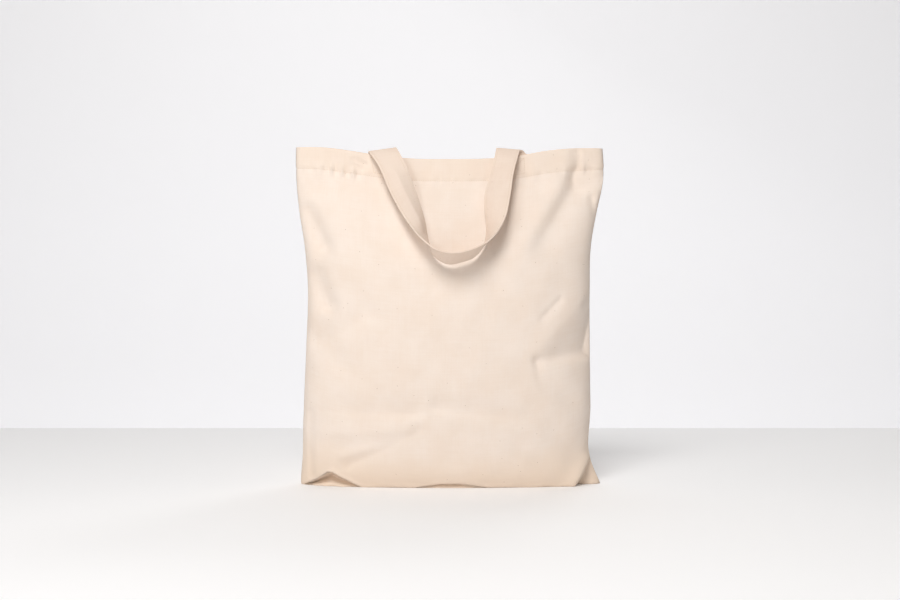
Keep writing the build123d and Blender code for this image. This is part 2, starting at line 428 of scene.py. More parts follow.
class Surface:
    """A grid of points over a sheet, with its normals and its flat size."""

    def __init__(self, points: np.ndarray, width: float, along: np.ndarray) -> None:
        """Keep the grid.

        Args:
            points: rows by columns of positions; columns run across, rows run along.
            width: of the flat sheet.
            along: where each row lies on the flat sheet.
        """
        self.points, self.width, self.along = points, width, along
        over, up = np.gradient(points, axis=1), np.gradient(points, along, axis=0)
        self.normals = unit(np.cross(over, up))

    def read(self, grid: np.ndarray, across: np.ndarray, along: np.ndarray) -> np.ndarray:
        """Read a grid between its points.

        Args:
            grid: values on the grid.
            across: distances over the flat sheet from its left edge.
            along: distances up the flat sheet.

        Returns:
            The values there.
        """
        rows, columns = grid.shape[:2]
        c = np.clip(across / self.width, 0, 1) * (columns - 1)
        r = np.interp(along, self.along, np.arange(rows))
        c0, r0 = np.minimum(c.astype(int), columns - 2), np.minimum(r.astype(int), rows - 2)
        fc, fr = (c - c0)[..., None], (r - r0)[..., None]
        low = grid[r0, c0] * (1 - fc) + grid[r0, c0 + 1] * fc
        high = grid[r0 + 1, c0] * (1 - fc) + grid[r0 + 1, c0 + 1] * fc
        return low * (1 - fr) + high * fr

    def place(
        self, across: np.ndarray, along: np.ndarray, lift: float = 0.0
    ) -> tuple[np.ndarray, np.ndarray]:
        """Points over the sheet.

        Args:
            across: distances over the flat sheet from its left edge.
            along: distances up the flat sheet.
            lift: distance off the sheet, along its normal.

        Returns:
            Positions and normals.
        """
        normal = unit(self.read(self.normals, across, along))
        return self.read(self.points, across, along) + normal * lift, normal


# Mesh helpers


def linked(name: str, data: bpy.types.ID) -> bpy.types.Object:
    """New object of the scene, at the origin.

    Args:
        name: name of the object.
        data: its mesh, light or camera.

    Returns:
        The object.
    """
    thing = bpy.data.objects.new(name, data)
    bpy.context.scene.collection.objects.link(thing)
    return thing


def mesh_object(name: str, mesh: bmesh.types.BMesh, material: bpy.types.Material) -> bpy.types.Object:
    """Turn a bmesh into an object.

    Args:
        name: name of the object.
        mesh: its mesh, freed here.
        material: its finish.

    Returns:
        The object.
    """
    data = bpy.data.meshes.new(name)
    mesh.to_mesh(data)
    mesh.free()
    data.materials.append(material)
    return linked(name, data)


def add_piece(
    name: str, mesh: bmesh.types.BMesh, material: bpy.types.Material
) -> bpy.types.Object:
    """Turn a bmesh into a smooth piece of the bag.

    Args:
        name: name of the piece.
        mesh: its mesh, freed here.
        material: its finish.

    Returns:
        The piece.
    """
    piece = mesh_object(name, mesh, material)
    piece.data.shade_smooth()
    return piece


def sheet_mesh(surface: Surface) -> bmesh.types.BMesh:
    """Grid mesh of a sheet, with a UV map in metres of flat cloth.

    Args:
        surface: the sheet.

    Returns:
        The mesh.
    """
    rows, columns = surface.points.shape[:2]
    mesh = bmesh.new()
    bmesh.ops.create_grid(mesh, x_segments=columns - 1, y_segments=rows - 1, size=0.5)
    layer = mesh.loops.layers.uv.new("cloth")
    spots = {}
    for vertex in mesh.verts:
        row, column = (vertex.co.y + 0.5) * (rows - 1), (vertex.co.x + 0.5) * (columns - 1)
        spots[vertex.index] = round(row), round(column)
    step = surface.width / (columns - 1)
    for face in mesh.faces:
        for loop in face.loops:
            row, column = spots[loop.vert.index]
            loop[layer].uv = (column * step, surface.along[row])
    for vertex in mesh.verts:
        vertex.co = surface.points[spots[vertex.index]]
    return mesh


def thicken(piece: bpy.types.Object, thickness: float, rounding: float = 0.0) -> None:
    """Give a sheet its thickness, half to each side.

    Args:
        piece: the sheet.
        thickness: of the cloth.
        rounding: radius of the rounded edges, or zero.
    """
    solid = piece.modifiers.new("thickness", "SOLIDIFY")
    solid.thickness, solid.offset = thickness, 0.0
    if rounding:
        edge = piece.modifiers.new("edges", "BEVEL")
        edge.width, edge.segments = rounding, 2
        edge.limit_method, edge.angle_limit = "ANGLE", math.radians(50)


@dataclass
class StitchRun:
    """Lines of thread drawn as one bead for each stitch."""

    pitch: float = 0.0028
    length: float = 0.0023
    width: float = 0.0006
    height: float = 0.0005
    mesh: bmesh.types.BMesh = field(default_factory=bmesh.new)

    def __post_init__(self) -> None:
        """Make the plain bead that every stitch is a copy of."""
        plain = bmesh.new()
        bmesh.ops.create_uvsphere(plain, u_segments=6, v_segments=4, radius=1)
        self.plain = bpy.data.meshes.new("stitch")
        plain.to_mesh(self.plain)
        plain.free()

    def bead(self, middle: np.ndarray, along: np.ndarray, normal: np.ndarray, length: float) -> None:
        """Add one stitch.

        Args:
            middle: its place.
            along: its direction.
            normal: direction off the cloth.
            length: its length.
        """
        ahead, up = Vector(along).normalized(), Vector(normal).normalized()
        side = up.cross(ahead).normalized()
        turn = Matrix((ahead, side, ahead.cross(side))).transposed().to_4x4()
        size = Matrix.Diagonal((length / 2, self.width / 2, self.height / 2, 1))
        stitch = self.plain.copy()
        stitch.transform(Matrix.Translation(Vector(middle)) @ turn @ size)
        self.mesh.from_mesh(stitch)
        bpy.data.meshes.remove(stitch)

    def run(self, points: np.ndarray, normals: np.ndarray) -> None:
        """Sew along a line.

        Args:
            points: the line.
            normals: directions off the cloth along it.
        """
        steps = np.r_[0, np.cumsum(np.linalg.norm(np.diff(points, axis=0), axis=1))]
        count = max(2, round(steps[-1] / self.pitch))
        marks = (np.arange(count) + 0.5) * steps[-1] / count

        def read(values: np.ndarray, at: np.ndarray) -> np.ndarray:
            """Values along the line."""
            return np.stack([np.interp(at, steps, values[:, axis]) for axis in range(3)], axis=1)

        reach = self.length / 2
        middle, normal = read(points, marks), read(normals, marks)
        along = read(points, marks + reach) - read(points, marks - reach)
        for spot, ahead, up in zip(middle, along, normal):
            self.bead(spot, ahead, up, self.length)

    def on_bag(self, name: str, node: str, cotton: bpy.types.Material) -> bpy.types.Object:
        """Finish the lines as one piece that stays with the bag.

        Args:
            name: name of the piece.
            node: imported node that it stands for.
            cotton: finish of the thread.

        Returns:
            The piece.
        """
        piece = add_piece(name, self.mesh, cotton)
        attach(piece, "bag")
        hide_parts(node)
        return piece


# The bag's cloth


@dataclass(frozen=True)
class Fold:
    """A crease between two points of a panel's front view, sunk by its depths or raised by negative ones."""

    start: tuple[float, float]
    end: tuple[float, float]
    depths: tuple[float, float]
    left_width: float
    right_width: float

    def depth(self, across: np.ndarray, height: np.ndarray) -> np.ndarray:
        """How far the crease sinks the cloth.

        Args:
            across: distances across the panel.
            height: heights.

        Returns:
            Depths.
        """
        run = np.array(self.end) - np.array(self.start)
        length = float(np.hypot(*run))
        ahead = run / length
        dx, dz = across - self.start[0], height - self.start[1]
        along = dx * ahead[0] + dz * ahead[1]
        off = ahead[0] * dz - ahead[1] * dx
        share = np.clip(along / length, 0, 1)
        past = along - share * length
        width = np.where(off > 0, self.left_width, self.right_width)
        end_width = 0.5 * (self.left_width + self.right_width)
        fade = np.exp(-((off / width) ** 2) - (past / end_width) ** 2)
        return fade * (self.depths[0] + (self.depths[1] - self.depths[0]) * share)


@dataclass(frozen=True)
class Facet:
    """A slumped triangle of cloth: it falls away from a soft ridge and ends below in a sharp crease."""

    ridge: Stations
    crease: Stations
    slope: float
    deepest: float
    softness: float = 0.004
    sharpness: float = 0.0030

    def depth(self, across: np.ndarray, height: np.ndarray) -> np.ndarray:
        """How far the triangle lies behind the open cloth.

        Args:
            across: distances across the panel.
            height: heights.

        Returns:
            Depths.
        """
        (x0, z0), (x1, z1) = self.ridge
        beyond = ((across - x0) * (z1 - z0) - (height - z0) * (x1 - x0)) / math.hypot(x1 - x0, z1 - z0)
        fallen = self.softness * np.log1p(np.exp(np.clip(beyond / self.softness, -30, 30))) * self.slope
        over, at = zip(*self.crease)
        above = 1 / (1 + np.exp(np.clip((np.interp(across, over, at) - height) / self.sharpness, -30, 30)))
        return self.deepest * np.tanh(fallen / self.deepest) * above


@dataclass(frozen=True)
class Hollow:
    """A hollow at the foot of a panel, under a lip of cloth that overhangs it."""

    lip: Stations
    scoop: float
    overhang: float
    lip_width: float = 0.004

    def depth(self, across: np.ndarray, height: np.ndarray) -> np.ndarray:
        """How far the hollow is scooped out and its lip stands forward.

        Args:
            across: distances across the panel.
            height: heights.

        Returns:
            Depths.
        """
        over, at = zip(*self.lip)
        top = np.interp(across, over, at, left=0, right=0)
        room = np.sqrt(top / max(at))
        share = np.clip(height / np.maximum(top, 1e-5), 0, 1)
        scooped = self.scoop * np.sin(math.pi * share**1.8)
        lipped = -self.overhang * np.exp(-(((height - top) / self.lip_width) ** 2))
        return room * np.where(height < top, scooped, lipped)


Relief = Fold | Facet | Hollow


@dataclass
class BagCloth:
    """The ring of cloth made of both panels, sewn at the sides and the bottom and standing on the floor."""

    panel_width: float = 0.380
    panel_height: float = 0.440
    cell: float = 0.005
    fullness: float = 0.62
    left_side: Stations = (
        (0.0, 0.182), (0.053, 0.181), (0.117, 0.1785), (0.176, 0.176), (0.235, 0.174),
        (0.294, 0.1785), (0.333, 0.1847), (0.3725, 0.1883), (0.420, 0.1883),
    )
    right_side: Stations = (
        (0.0, 0.184), (0.014, 0.178), (0.028, 0.1735), (0.097, 0.173), (0.176, 0.172), (0.245, 0.1718),
        (0.294, 0.1735), (0.333, 0.1804), (0.3725, 0.1885), (0.420, 0.1865),
    )
    half_depth: Stations = (
        (0.0, 0.040), (0.010, 0.0450), (0.035, 0.0495), (0.073, 0.0520), (0.113, 0.0528), (0.153, 0.0526),
        (0.193, 0.0517), (0.232, 0.0512), (0.272, 0.0494), (0.310, 0.0425), (0.342, 0.0310), (0.365, 0.0190),
        (0.385, 0.0165), (0.420, 0.0160),
    )
    rim: Stations = (
        (-0.188, 0.4115), (-0.150, 0.4105), (-0.115, 0.4057), (-0.080, 0.400), (-0.040, 0.3963), (0.0, 0.396),
        (0.040, 0.3963), (0.080, 0.3995), (0.115, 0.406), (0.150, 0.4095), (0.188, 0.410),
    )
    section_points: int = 120
    open_pull: float = 0.003
    edge_pull: float = 0.05
    hem_pull: float = 0.02
    corner_pull: float = 0.3
    pulled_rows: int = 6
    stays: Stations = ((1, 1.0), (2, 0.25), (4, 0.14), (8, 0.06))
    shear: float = 0.25
    ease: float = 0.85
    rounds: int = 420
    drag: float = 0.92
    weight: float = 2e-6
    smoothings: int = 4
    fine_foot: float = 0.090
    fine_rim: float = 0.045

    def __post_init__(self) -> None:
        """Count the cells of the ring."""
        self.half = round(self.panel_width / self.cell)
        self.columns = 2 * self.half
        self.rows = round(self.panel_height / self.cell) + 1

    def section(self, left: float, right: float, depth: float) -> tuple[np.ndarray, np.ndarray, np.ndarray]:
        """Front half of a level section.

        Args:
            left: half width on the left.
            right: half width on the right.
            depth: half depth.

        Returns:
            Points across and towards the front, and their share of the arc.
        """
        t, full = np.linspace(0, 1, self.section_points), self.fullness
        side = (1 - t) ** 3 + 3 * (1 - t) ** 2 * t + 3 * (1 - t) * t**2 * full
        front = 3 * (1 - t) ** 2 * t * full + 3 * (1 - t) * t**2 + t**3
        x = np.r_[-left * side, right * side[-2::-1]]
        y = np.r_[depth * front, depth * front[-2::-1]]
        arc = np.r_[0, np.cumsum(np.hypot(np.diff(x), np.diff(y)))]
        return x, y, arc / arc[-1]

    def standing_form(self) -> np.ndarray:
        """The form that the cloth is held near: a full body over a flat lens-shaped foot.

        Returns:
            Rows by ring columns of positions; columns run along the front, then back along the rear.
        """
        form = np.zeros((self.rows, self.columns, 3))
        share = np.arange(self.half + 1) / self.half
        foot = (self.left_side[0][1], self.right_side[0][1], self.half_depth[0][1])
        x, y, arc = self.section(*foot)
        foot_across, foot_front = np.interp(share, arc, x), np.interp(share, arc, y)
        rim = smooth_curve(self.rim, (share - 0.5) * 2 * self.rim[-1][0])
        fronts, rears = np.arange(self.half + 1), -np.arange(self.half + 1) % self.columns
        for row in range(self.rows):
            up = row * self.cell
            low = up <= foot_front
            height = np.clip((up - foot_front) / (self.panel_height - foot_front), 0, 1) * rim
            left, right = smooth_curve(self.left_side, height), smooth_curve(self.right_side, height)
            depth = smooth_curve(self.half_depth, height)
            x, y, arc = self.section(left.mean(), right.mean(), depth.mean())
            across = np.interp(share, arc, x)
            across = np.where(across < 0, across * left / left.mean(), across * right / right.mean())
            front = np.interp(share, arc, y) * depth / depth.mean()
            across, front = np.where(low, foot_across, across), np.where(low, up, front)
            height = np.where(low, 0.0, height)
            for columns, sign in ((fronts, -1), (rears, 1)):
                form[row, columns] = np.stack([across, sign * front, height], axis=1)
        return form

    def hold(self) -> np.ndarray:
        """How firmly each point is drawn to the standing form: seams, rim and foot more than the open cloth.

        Returns:
            Shares per round.
        """
        pull = np.full((self.rows, self.columns), self.open_pull)
        pull[:, [0, self.half]] = self.edge_pull
        pull[-self.pulled_rows :] = np.maximum(pull[-self.pulled_rows :], self.hem_pull)
        pull[-1] = pull[0] = self.edge_pull
        pull[0, [0, self.half]] = self.corner_pull
        return pull

    def links(self, form: np.ndarray) -> list[tuple]:
        """Threads and stays of the cloth, in sets that share no point.

        Args:
            form: the standing form, which the cloth has eased towards where it was slack or tight.

        Returns:
            Index pairs with rest length and stiffness.
        """
        rows, columns, sets = np.arange(self.rows), np.arange(self.columns), []

        def link(r: np.ndarray, c: np.ndarray, down: int, over: int, stiffness: float) -> None:
            """Join points to those a few rows and columns on.

            Args:
                r: rows of the points.
                c: columns of the points.
                down: rows to go on.
                over: columns to go on.
                stiffness: share of a stretch that is taken up in one step.
            """
            rr, cc = (a.ravel() for a in np.meshgrid(r, c, indexing="ij"))
            if abs(over) > 1:
                clear = (cc % self.half) + over <= self.half
                rr, cc = rr[clear], cc[clear]
            first, second = (rr, cc), (rr + down, (cc + over) % self.columns)
            formed = np.linalg.norm(form[second] - form[first], axis=-1)
            rest = self.ease * formed + (1 - self.ease) * self.cell * math.hypot(down, over)
            sets.append((first, second, rest, stiffness))

        for reach, stiffness in self.stays:
            for half in (0, 1):
                link(rows, columns[(columns // reach) % 2 == half], 0, reach, stiffness)
                upper = rows[:-reach]
                link(upper[(upper // reach) % 2 == half], columns, reach, 0, stiffness)
        for half in (0, 1):
            upper = rows[:-1][half::2]
            link(upper, columns, 1, 1, self.shear)
            link(upper, columns, 1, -1, self.shear)
        return sets

    def relaxed(self, form: np.ndarray) -> np.ndarray:
        """Let the cloth settle: its threads keep their length, so it puckers where the form leaves it slack.

        Args:
            form: the standing form.

        Returns:
            The settled cloth.
        """
        sets, pull = self.links(form), self.hold()[..., None]
        points, drift = form.copy(), np.zeros_like(form)
        fronts = np.arange(1, self.half)
        rears = -fronts % self.columns
        for _ in range(self.rounds):
            drift *= self.drag
            drift[..., 2] -= self.weight
            moved = points + drift
            for first, second, rest, stiffness in sets:
                apart = moved[second] - moved[first]
                length = np.linalg.norm(apart, axis=-1) + 1e-12
                shift = (0.5 * stiffness * (length - rest) / length)[:, None] * apart
                moved[first] += shift
                moved[second] -= shift
            moved += pull * (form - moved)
            joined = (moved[0, fronts] + moved[0, rears]) / 2
            moved[0, fronts] = moved[0, rears] = joined
            moved[..., 2] = np.maximum(moved[..., 2], 0)
            drift, points = moved - points, moved
        return form + self.smoothed(points - form)

    def smoothed(self, shifts: np.ndarray) -> np.ndarray:
        """Even out shifts over the ring, so that no ripple is left that is finer than the cloth would make.

        Args:
            shifts: how far each point has moved.

        Returns:
            The smoother shifts.
        """
        for _ in range(self.smoothings):
            shifts = (np.roll(shifts, 1, axis=1) + 2 * shifts + np.roll(shifts, -1, axis=1)) / 4
            shifts[1:-1] = (shifts[:-2] + 2 * shifts[1:-1] + shifts[2:]) / 4
        return shifts

    def settle(self) -> dict[Side, np.ndarray]:
        """Form and settle both panels.

        Returns:
            Fine grids of each panel, from its left to its right as seen from outside.
        """
        ring = self.standing_form()
        ring = self.relaxed(ring)
        ring = np.concatenate([ring, ring[:, :1]], axis=1)
        coarse = {Side.FRONT: ring[:, : self.half + 1], Side.REAR: ring[:, self.half :]}
        kept = self.fine_rows()
        return {side: refined(refined(refined(grid, 0), 0)[kept], 1) for side, grid in coarse.items()}

    def fine_rows(self) -> np.ndarray:
        """Which of the finest rows are kept: all near the foot and the rim, every other one between.

        Returns:
            Row numbers.
        """
        rows = np.arange(4 * (self.rows - 1) + 1)
        up = rows * self.cell / 4
        near = (up < self.fine_foot) | (up > self.panel_height - self.fine_rim)
        return rows[near | (rows % 2 == 0)]

    def row_places(self) -> np.ndarray:
        """Where the kept rows lie on the flat panel."""
        return self.fine_rows() * self.cell / 4


FRONT_RELIEF: tuple[Relief, ...] = (
    Facet(((0.104, 0.154), (0.172, 0.221)), ((0.100, 0.150), (0.172, 0.156)), 0.55, 0.020),
    Fold((0.098, 0.160), (0.158, 0.222), (-0.0012, -0.0020), 0.018, 0.008),
    Fold((0.103, 0.152), (0.107, 0.130), (0.0032, 0.0006), 0.008, 0.004),
    Fold((0.110, 0.203), (0.132, 0.226), (0.0014, 0.0018), 0.003, 0.006),
    Fold((0.164, 0.218), (0.168, 0.226), (0.0030, 0.0030), 0.004, 0.006),
    Fold((0.158, 0.374), (0.112, 0.296), (0.0085, 0.0030), 0.026, 0.011),
    Fold((0.138, 0.366), (0.098, 0.300), (-0.0030, -0.0018), 0.011, 0.014),
    Fold((0.157, 0.405), (0.157, 0.374), (0.0026, 0.0050), 0.004, 0.010),
    Fold((0.174, 0.350), (0.176, 0.326), (0.0030, 0.0010), 0.004, 0.004),
    Fold((-0.117, 0.397), (-0.103, 0.390), (0.0016, 0.0022), 0.003, 0.004),
    Fold((-0.117, 0.389), (-0.104, 0.384), (0.0014, 0.0018), 0.003, 0.004),
    Fold((-0.172, 0.334), (-0.152, 0.292), (0.0060, 0.0080), 0.010, 0.014),
    Fold((-0.160, 0.255), (-0.147, 0.220), (0.0060, 0.0095), 0.012, 0.012),
    Fold((-0.158, 0.178), (-0.098, 0.206), (0.0050, 0.0030), 0.018, 0.012),
    Fold((-0.158, 0.196), (-0.134, 0.150), (0.0030, 0.0040), 0.014, 0.020),
    Fold((-0.150, 0.092), (-0.040, 0.090), (0.0016, 0.0036), 0.016, 0.006),
    Fold((-0.150, 0.066), (-0.050, 0.072), (-0.0022, -0.0030), 0.010, 0.010),
    Fold((-0.014, 0.097), (0.086, 0.084), (0.0036, 0.0018), 0.014, 0.008),
    Fold((-0.128, 0.038), (-0.056, 0.058), (-0.0022, -0.0010), 0.007, 0.007),
    Fold((-0.122, 0.026), (-0.036, 0.070), (0.0022, 0.0014), 0.008, 0.006),
    Fold((-0.169, 0.090), (-0.167, 0.012), (0.0014, 0.0024), 0.004, 0.004),
    Hollow(((-0.178, 0.0), (-0.162, 0.0070), (-0.143, 0.0195), (-0.107, 0.0)), 0.016, 0.0035),
    Hollow(((-0.045, 0.0), (-0.012, 0.0055), (0.012, 0.0060), (0.050, 0.0)), 0.006, 0.0006),
    Fold((0.174, 0.032), (0.153, -0.003), (0.0140, 0.0140), 0.018, 0.0022),
    Fold((0.169, 0.032), (0.148, -0.003), (-0.0040, -0.0045), 0.003, 0.010),
)
REAR_RELIEF: tuple[Relief, ...] = (
    Fold((-0.164, 0.158), (-0.104, 0.152), (0.0100, 0.0020), 0.006, 0.032),
    Fold((0.150, 0.360), (0.104, 0.280), (0.0050, 0.0015), 0.018, 0.010),
    Fold((-0.156, 0.330), (-0.120, 0.280), (0.0030, 0.0030), 0.010, 0.014),
    Fold((-0.120, 0.092), (0.110, 0.088), (0.0016, 0.0022), 0.014, 0.008),
    Fold((0.164, 0.130), (0.120, 0.150), (0.0050, 0.0015), 0.012, 0.018),
)


@dataclass
class Panel:
    """One panel of the bag: sculpted cloth with its top edge turned in and sewn down as a hem."""

    side: Side
    cloth: BagCloth
    relief: tuple[Relief, ...]
    thickness: float = 0.0008
    hem_rows: int = 22
    hem_gap: float = 0.0013
    hem_turn: tuple[float, float] = (60.0, 120.0)
    hem_rise: float = 0.0004
    hem_step: float = 0.0012
    hem_pinch: float = 0.0004
    pinch_reach: float = 0.003
    stitch_drop: float = 0.0262
    stitch_dent: float = 0.0005
    stitch_stop: float = 0.003
    stitch_points: int = 200
    dent_reach: float = 0.0022
    pucker: float = 0.0009
    pucker_reach: float = 0.007
    pucker_waves: int = 9
    pucker_lengths: tuple[float, float] = (0.006, 0.020)
    pucker_base: float = 0.5
    pucker_more: float = 2.2
    pucker_patches: Stations = ((-0.140, 0.022), (0.162, 0.020), (-0.108, 0.012), (0.060, 0.012))
    swell: float = 0.00016
    swell_waves: int = 14
    swell_lengths: tuple[float, float] = (0.03, 0.09)
    calm_foot: float = 0.03
    calm_seam: float = 0.02
    most_sunk: float = 0.72
    seed: int = 5

    def puckers(self, rng: np.random.Generator, flat: np.ndarray) -> np.ndarray:
        """Waves along the sewn line, higher in some patches.

        Args:
            rng: source of chance.
            flat: distances across the flat panel from its middle.

        Returns:
            Depths, as shares of a plain pucker.
        """
        waves = np.zeros_like(flat)
        for _ in range(self.pucker_waves):
            wave, phase = rng.uniform(*self.pucker_lengths), rng.uniform(0, 2 * math.pi)
            waves = waves + np.sin(2 * math.pi * flat / wave + phase)
        patches = sum(np.exp(-(((flat - middle) / reach) ** 2)) for middle, reach in self.pucker_patches)
        return (self.pucker_base + self.pucker_more * patches) * waves / math.sqrt(self.pucker_waves)

    def swells(self, rng: np.random.Generator, across: np.ndarray, height: np.ndarray) -> np.ndarray:
        """Slight unevenness of the open cloth, which fades towards the floor.

        Args:
            rng: source of chance.
            across: distances across the panel.
            height: heights.

        Returns:
            Depths, as sums of waves of height one.
        """
        swell = np.zeros_like(height)
        for _ in range(self.swell_waves):
            wave, turn = rng.uniform(*self.swell_lengths), rng.uniform(0, math.pi)
            ahead = math.cos(turn) * across + math.sin(turn) * height
            swell += np.sin(2 * math.pi * ahead / wave + rng.uniform(0, 2 * math.pi))
        return swell * np.clip(height / self.calm_foot, 0, 1)

    def sculpt(self, grid: np.ndarray) -> None:
        """Press the folds, the sewn line's dent and its puckers into the settled cloth.

        Args:
            grid: the panel's fine grid.
        """
        rng = np.random.default_rng(self.seed - self.side.value)
        width, places = self.cloth.panel_width, self.cloth.row_places()
        across, height = -self.side.value * grid[..., 0], grid[..., 2].copy()
        folded = sum(form.depth(across, height) for form in self.relief)
        flat = np.linspace(-0.5, 0.5, grid.shape[1])[None, :] * width
        below = self.cloth.panel_height - places[:, None] - self.stitch_drop
        dent = np.exp(-((below / self.dent_reach) ** 2))
        hem = 1 / (1 + np.exp(below / self.hem_step))
        uneven = np.exp(-((below / self.pucker_reach) ** 2)) * self.puckers(rng, flat) * self.pucker
        uneven = uneven + self.swells(rng, across, height) * self.swell
        clear = np.clip((width / 2 - np.abs(flat)) / self.calm_seam, 0, 1)
        sunk = dent * self.stitch_dent - hem * self.hem_rise + uneven * clear
        grid -= Surface(grid, width, places).normals * sunk[..., None]
        front = self.side.value * grid[..., 1]
        grid[..., 1] -= self.side.value * np.minimum(folded, self.most_sunk * np.maximum(front, 0))
        grid[..., 2] = np.maximum(grid[..., 2], self.thickness / 2)

    def build(self, grid: np.ndarray, material: bpy.types.Material) -> bpy.types.Object:
        """Make the panel.

        Args:
            grid: the panel's fine grid, sculpted here.
            material: the canvas.

        Returns:
            The piece.
        """
        self.sculpt(grid)
        width, places, step = self.cloth.panel_width, self.cloth.row_places(), self.cloth.cell / 4
        self.outer = Surface(grid, width, places)
        inward = -self.outer.normals
        rim, turned = grid[-1], inward[-1]
        up = unit(grid[-1] - grid[-3])
        layers = []
        for angle in np.radians(self.hem_turn):
            bend = self.hem_gap / 2
            layers.append(rim + turned * bend * (1 - math.cos(angle)) + up * bend * math.sin(angle))
        for row in range(0, self.hem_rows + 1, 2):
            pinch = math.exp(-(((row * step - self.stitch_drop) / self.pinch_reach) ** 2))
            layers.append(grid[-1 - row] + inward[-1 - row] * (self.hem_gap - self.hem_pinch * pinch))
        over = places[-1] + 2 * step * np.arange(1, len(layers) + 1)
        whole = Surface(np.concatenate([grid, np.stack(layers)]), width, np.concatenate([places, over]))
        piece = add_piece(f"{self.side.label}_panel_cloth", sheet_mesh(whole), material)
        thicken(piece, self.thickness)
        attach(piece, "bag")
        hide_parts(f"{self.side.label}_panel")
        return piece

    def sew_hem(self, material: bpy.types.Material) -> bpy.types.Object:
        """Sew the hem with one row of thread, seen outside and inside.

        Args:
            material: the thread.

        Returns:
            The piece.
        """
        thread, half = StitchRun(), self.thickness / 2
        stop = self.stitch_stop
        across = np.linspace(stop, self.cloth.panel_width - stop, self.stitch_points)
        along = np.full_like(across, self.cloth.panel_height - self.stitch_drop)
        for lift in (half, -self.hem_gap - half + self.hem_pinch):
            points, normals = self.outer.place(across, along, lift)
            thread.run(points, normals if lift > 0 else -normals)
        label = self.side.label
        return thread.on_bag(f"{label}_hem_thread", f"{label}_hem_stitching", material)


@dataclass
class Seam:
    """Raw edges of both panels inside a seam, with overlock thread wrapped over them."""

    name: str
    line: np.ndarray
    inward: np.ndarray
    width: float = 0.0105
    thickness: float = 0.0017
    root_share: float = 0.06
    cells_across: int = 4
    tapered: float = 0.030
    least_taper: float = 0.15
    loop_pitch: float = 0.0032
    loop_thread: float = 0.0005
    loop_lift: float = 0.0001
    loop_wrap: float = 0.0006

    def build(self, canvas: bpy.types.Material, cotton: bpy.types.Material) -> list[bpy.types.Object]:
        """Make the allowance and its thread.

        Args:
            canvas: finish of the cloth.
            cotton: finish of the thread.

        Returns:
            The two pieces.
        """
        steps = np.linalg.norm(np.diff(self.line, axis=0), axis=1)
        along = np.concatenate([[0.0], np.cumsum(steps)])
        length = float(along[-1])
        taper = np.clip(np.minimum(along, length - along) / self.tapered, self.least_taper, 1)
        shares = np.linspace(self.root_share, 1, self.cells_across + 1)
        reach = self.inward * (self.width * taper)[:, None]
        band = Surface(np.stack([self.line + reach * share for share in shares], axis=1), self.width, along)
        cloth = add_piece(f"{self.name}_seam_allowance", sheet_mesh(band), canvas)
        thicken(cloth, self.thickness)
        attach(cloth, "bag")
        thread = StitchRun(width=self.loop_thread, height=self.loop_thread)
        marks = np.arange(self.tapered / 4, length - self.tapered / 4, self.loop_pitch)
        outer, middle = np.full_like(marks, self.width), np.full_like(marks, self.width / 2)
        for face in (1, -1):
            lift = face * (self.thickness / 2 + self.loop_lift)
            edge, off = band.place(outer, marks, lift)
            root, _ = band.place(middle, marks + self.loop_pitch / 3, lift)
            for tip, base, up in zip(edge, root, off):
                thread.bead((tip + base) / 2, tip - base, up * face, float(np.linalg.norm(tip - base)))
        for tip, up in zip(*band.place(outer, marks)):
            thread.bead(tip, up, self.inward[0], self.thickness + self.loop_wrap)
        return [cloth, thread.on_bag(f"{self.name}_seam_thread", f"{self.name}_seam_overlock", cotton)]


